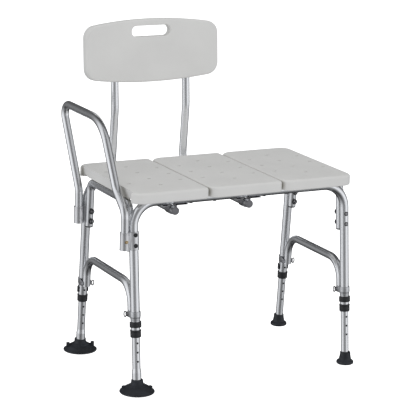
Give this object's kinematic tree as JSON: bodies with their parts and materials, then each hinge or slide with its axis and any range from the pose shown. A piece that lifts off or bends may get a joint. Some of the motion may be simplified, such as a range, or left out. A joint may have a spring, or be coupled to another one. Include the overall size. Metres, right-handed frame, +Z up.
{
  "type": "bath transfer bench",
  "caption": "Bath transfer bench: panelled plastic seat on two splayed bent-tube frames, with a bent-tube arm rest, a slotted back rest, telescopic legs, suction cups and rubber tips.",
  "frame": {"origin": "on the floor, in the middle of the bench's overall box", "axes": "+X along the seat away from the arm rest, +Y from the seat's front to the back rest, +Z up"},
  "size_m": [0.7214, 0.5193, 0.9469],
  "materials": {
    "seat_plastic": "fine matte texture",
    "tube": "satin anodised",
    "cast_metal": "satin cast",
    "strap_steel": "zinc plated",
    "screw_steel": "plated",
    "black_plastic": "matte",
    "grey_plastic": "matte",
    "black_rubber": "matte",
    "button_brass": "satin"
  },
  "bodies": {
    "bench": {"seat_panel_left": "seat_plastic", "seat_panel_middle": "seat_plastic", "seat_panel_right": "seat_plastic", "front_frame": "tube", "rear_frame": "tube", "side_rail_left": "tube", "side_rail_right": "tube", "brace_left": "tube", "brace_right": "tube", "arm_bracket_front": "cast_metal", "arm_bracket_rear": "cast_metal", "brace_straps": "strap_steel", "back_brackets_front": "strap_steel", "back_brackets_rear": "strap_steel", "seat_screws": "screw_steel", "rail_bolts": "screw_steel", "brace_wing_screws": "screw_steel", "back_bracket_screws": "screw_steel", "rail_nuts": "black_plastic", "side_rail_plugs": "black_plastic", "leg_collar_front_left": "black_plastic", "leg_collar_front_right": "black_plastic", "leg_collar_rear_left": "black_plastic", "leg_collar_rear_right": "black_plastic"},
    "leg_front_left": {"leg_extension_front_left": "tube", "suction_cup_front": "black_rubber"},
    "leg_front_right": {"leg_extension_front_right": "tube", "rubber_tip_front": "black_rubber"},
    "leg_rear_left": {"leg_extension_rear_left": "tube", "suction_cup_rear": "black_rubber"},
    "leg_rear_right": {"leg_extension_rear_right": "tube", "rubber_tip_rear": "black_rubber"},
    "clip_front_left": {"height_clip_front_left": "black_plastic"},
    "clip_front_right": {"height_clip_front_right": "black_plastic"},
    "clip_rear_left": {"height_clip_rear_left": "black_plastic"},
    "clip_rear_right": {"height_clip_rear_right": "black_plastic"},
    "arm": {"armrest": "tube"},
    "backrest": {"back_tube_left": "tube", "back_tube_right": "tube", "back_tube_plugs": "grey_plastic", "back_panel": "seat_plastic", "back_panel_screws": "screw_steel"},
    "arm_catch_front": {"arm_button_front": "button_brass"},
    "arm_catch_rear": {"arm_button_rear": "button_brass"},
    "back_catch_left": {"back_button_left": "button_brass"},
    "back_catch_right": {"back_button_right": "button_brass"}
  },
  "joints": [
    {"name": "leg_front_left_height", "type": "slide", "parent": "bench", "child": "leg_front_left", "axis": [0, 0.0872, 0.9962], "range_m": [-0.0254, 0.0762]},
    {"name": "leg_front_right_height", "type": "slide", "parent": "bench", "child": "leg_front_right", "axis": [0, 0.0872, 0.9962], "range_m": [-0.0254, 0.1016]},
    {"name": "leg_rear_left_height", "type": "slide", "parent": "bench", "child": "leg_rear_left", "axis": [0, -0.0872, 0.9962], "range_m": [-0.0254, 0.0762]},
    {"name": "leg_rear_right_height", "type": "slide", "parent": "bench", "child": "leg_rear_right", "axis": [0, -0.0872, 0.9962], "range_m": [-0.0254, 0.1016]},
    {"name": "clip_front_left_pull", "type": "slide", "parent": "bench", "child": "clip_front_left", "axis": [0, -0.9962, 0.0872], "range_m": [0, 0.03]},
    {"name": "clip_front_right_pull", "type": "slide", "parent": "bench", "child": "clip_front_right", "axis": [0, -0.9962, 0.0872], "range_m": [0, 0.03]},
    {"name": "clip_rear_left_pull", "type": "slide", "parent": "bench", "child": "clip_rear_left", "axis": [0, 0.9962, 0.0872], "range_m": [0, 0.03]},
    {"name": "clip_rear_right_pull", "type": "slide", "parent": "bench", "child": "clip_rear_right", "axis": [0, 0.9962, 0.0872], "range_m": [0, 0.03]},
    {"name": "arm_lift", "type": "slide", "parent": "bench", "child": "arm", "axis": [0, 0, 1], "range_m": [0, 0.06]},
    {"name": "back_draw", "type": "slide", "parent": "bench", "child": "backrest", "axis": [0, 1, 0], "range_m": [0, 0.36]},
    {"name": "arm_button_front_press", "type": "slide", "parent": "bench", "child": "arm_catch_front", "axis": [0, 1, 0], "range_m": [0, 0.003], "stiffness_N_per_m": 500},
    {"name": "arm_button_rear_press", "type": "slide", "parent": "bench", "child": "arm_catch_rear", "axis": [0, -1, 0], "range_m": [0, 0.003], "stiffness_N_per_m": 500},
    {"name": "back_button_left_press", "type": "slide", "parent": "bench", "child": "back_catch_left", "axis": [0, 0, 1], "range_m": [0, 0.003], "stiffness_N_per_m": 500, "springref_m": -0.0005},
    {"name": "back_button_right_press", "type": "slide", "parent": "bench", "child": "back_catch_right", "axis": [0, 0, 1], "range_m": [0, 0.003], "stiffness_N_per_m": 500, "springref_m": -0.0005}
  ]
}
